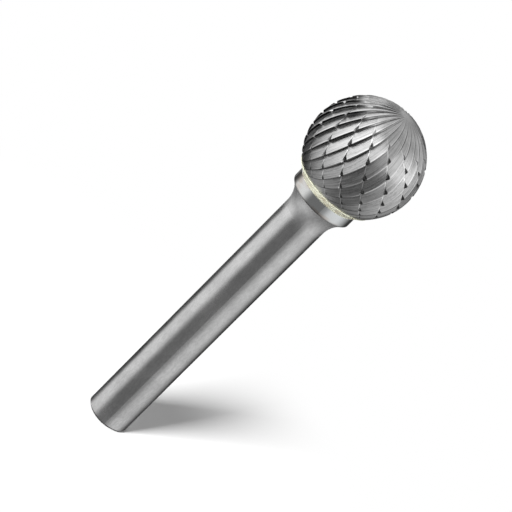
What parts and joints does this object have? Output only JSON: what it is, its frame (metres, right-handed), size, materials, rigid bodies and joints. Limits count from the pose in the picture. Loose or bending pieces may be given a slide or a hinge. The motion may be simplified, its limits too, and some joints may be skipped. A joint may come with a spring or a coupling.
{
  "type": "carbide burr",
  "caption": "Ball-shaped rotary burr: double-cut tungsten carbide head brazed to a flared steel shank, for die grinders.",
  "frame": {"origin": "centre of the shank's end face", "axes": "+Z along the tool's axis, from the shank's end towards the nose of the ball; +X and +Y are plain radial directions"},
  "size_m": [0.0158, 0.0158, 0.06],
  "materials": {
    "shank_steel": "fine ground, bright",
    "silver_braze": "pale silver-braze alloy, satin",
    "carbide": "ground tungsten carbide, satin grey"
  },
  "bodies": {
    "root": {"shank": "shank_steel", "braze_joint": "silver_braze", "cutting_head": "carbide"}
  },
  "joints": []
}
